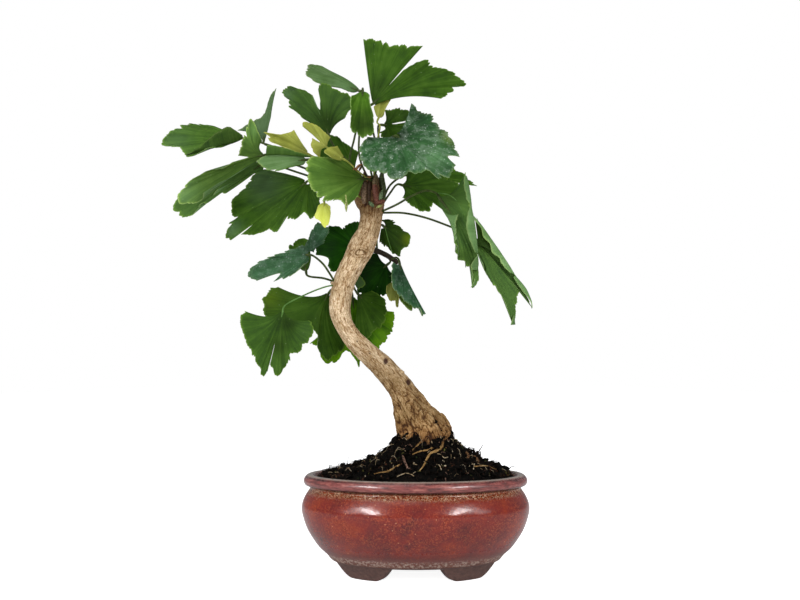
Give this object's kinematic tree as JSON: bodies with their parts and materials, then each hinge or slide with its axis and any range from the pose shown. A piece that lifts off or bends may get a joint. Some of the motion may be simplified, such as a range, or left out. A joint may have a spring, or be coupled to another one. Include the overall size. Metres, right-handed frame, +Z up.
{
  "type": "ginkgo bonsai",
  "caption": "Potted ginkgo bonsai: curved bare trunk on surface roots, fan-shaped lobed leaves on thin stalks, peat mound in an oval glazed pot on four feet.",
  "frame": {"origin": "on the ground, under the middle of the whole tree's width and depth; the pot's middle is 49.7 mm to the right (+X)", "axes": "+Z up along the tree, +X to the right in the front view along the pot's long side, +Y away from the viewer along the pot's short side"},
  "size_m": [0.261, 0.114, 0.3665],
  "materials": {
    "pot_glaze": "gloss",
    "peat": "matte",
    "bark": "matte",
    "leaf_green": "satin",
    "leaf_bright": "satin",
    "leaf_young": "satin"
  },
  "bodies": {
    "root": {"pot": "pot_glaze", "soil": "peat", "trunk": "bark", "leaf_crown_top": "leaf_green", "leaf_crown_left": "leaf_green", "leaf_crown_tongue": "leaf_green", "leaf_crown_fan": "leaf_green", "leaf_crown_back": "leaf_green", "leaf_crown_rear": "leaf_green", "leaf_left_far": "leaf_green", "leaf_left_upright": "leaf_green", "leaf_left_front": "leaf_green", "leaf_left_long": "leaf_green", "leaf_left_broad": "leaf_green", "leaf_left_mid": "leaf_green", "leaf_centre": "leaf_green", "leaf_right_dusty": "leaf_green", "leaf_right_under": "leaf_green", "leaf_right_far": "leaf_green", "leaf_right_droop": "leaf_green", "leaf_right_hanging": "leaf_green", "leaf_low_grey": "leaf_green", "leaf_low_back": "leaf_green", "leaf_low_long": "leaf_green", "leaf_low_front": "leaf_green", "leaf_low_behind": "leaf_green", "leaf_low_round": "leaf_green", "leaf_low_dark": "leaf_green", "leaf_low_blue": "leaf_green", "leaf_low_pale": "leaf_young", "leaf_low_under": "leaf_bright", "leaf_low_shade": "leaf_green", "leaf_low_tiny": "leaf_green", "leaf_low_bright": "leaf_bright", "young_left": "leaf_young", "young_curl": "leaf_young", "young_centre": "leaf_young", "young_top": "leaf_young", "young_hanging": "leaf_young"}
  },
  "joints": []
}
